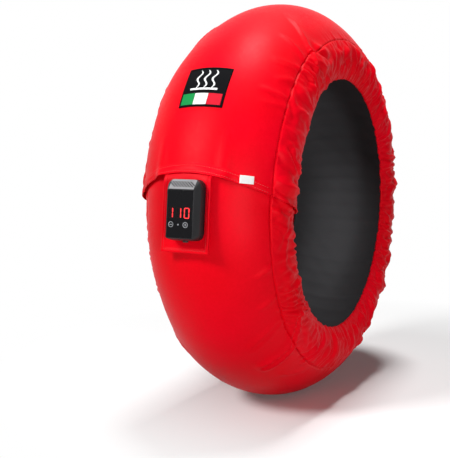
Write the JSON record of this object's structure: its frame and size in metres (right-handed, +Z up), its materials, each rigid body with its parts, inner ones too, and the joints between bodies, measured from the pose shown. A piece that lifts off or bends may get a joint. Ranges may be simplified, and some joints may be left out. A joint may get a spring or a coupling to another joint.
{
  "type": "motorcycle tire warmer",
  "caption": "Heated cloth cover for a rear motorcycle tyre, with gathered elastic side skirts, an overlapping hook-and-loop flap and a digital temperature controller on a hanging pad",
  "frame": {"origin": "centre of the wheel that wears the cover", "axes": "+X along the wheel's axle towards the side that shows in the picture, -Y to the front of the tread where the flap and the controller are, +Z up"},
  "size_m": [0.2506, 0.6995, 0.6668],
  "materials": {
    "red_nylon": "coated, softly shining",
    "dark_lining": "matt",
    "wadding": "matt",
    "white_tape": "matt",
    "green_print": "satin",
    "red_print": "satin",
    "black_patch": "satin",
    "black_plastic": "satin",
    "black_window": "gloss",
    "grey_mark": "matt",
    "red_light": "lit",
    "board": "satin",
    "heating_tape": "satin",
    "steel": "satin",
    "rubber": "matt"
  },
  "bodies": {
    "root": {"tread_cover": "red_nylon", "skirt_right": "red_nylon", "skirt_left": "red_nylon", "controller_pad": "red_nylon", "elastic_right": "white_tape", "elastic_left": "white_tape", "size_label": "white_tape", "badge_white_field": "white_tape", "badge_mark": "white_tape", "badge_green_field": "green_print", "badge_red_field": "red_print", "badge_patch": "black_patch", "insulation": "wadding", "inner_lining": "dark_lining", "loop_strip": "dark_lining", "hook_strip": "dark_lining", "heating_element": "heating_tape", "temperature_sensor": "steel", "case_screw_1": "steel", "case_screw_2": "steel", "case_screw_3": "steel", "case_screw_4": "steel", "pad_backing_plate": "black_plastic", "controller_back_shell": "black_plastic", "controller_front_shell": "black_plastic", "case_gasket": "rubber", "display_module": "rubber", "power_inlet": "rubber", "heater_lead": "rubber", "circuit_board": "board", "display_lens": "black_window", "display_digit_1": "red_light", "display_digit_2": "red_light", "display_digit_3": "red_light", "key_down_ring": "grey_mark", "key_down_sign": "grey_mark", "key_up_ring": "grey_mark", "key_up_sign": "grey_mark", "status_light": "grey_mark"}
  },
  "joints": []
}
